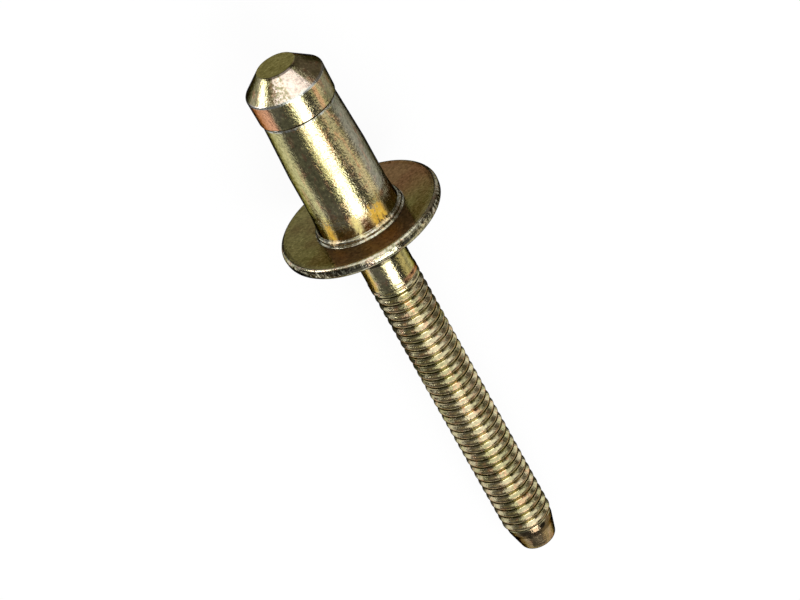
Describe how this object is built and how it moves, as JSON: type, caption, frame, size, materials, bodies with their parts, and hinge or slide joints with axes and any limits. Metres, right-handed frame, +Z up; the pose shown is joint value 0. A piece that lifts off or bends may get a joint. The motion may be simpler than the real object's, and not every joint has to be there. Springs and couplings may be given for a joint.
{
  "type": "structural blind rivet",
  "caption": "Blind rivet with a wide flange, a plain sleeve and a ringed mandrel that a setting tool pulls and breaks off to clamp sheets from one side.",
  "frame": {"origin": "on the bench surface, under the middle of the part's box as it lies", "axes": "+Z up from the bench; the rivet's axis runs along Y, with the mandrel's head toward -Y and raised a little, and the ringed stem's tail toward +Y"},
  "size_m": [0.013, 0.0482, 0.0129],
  "materials": {
    "plated_body": "yellow chromate over bright zinc, drawn surface, glossy",
    "plated_mandrel": "yellow chromate over bright zinc, rolled rings, slightly iridescent"
  },
  "bodies": {
    "root": {"rivet_body": "plated_body", "mandrel": "plated_mandrel"}
  },
  "joints": []
}
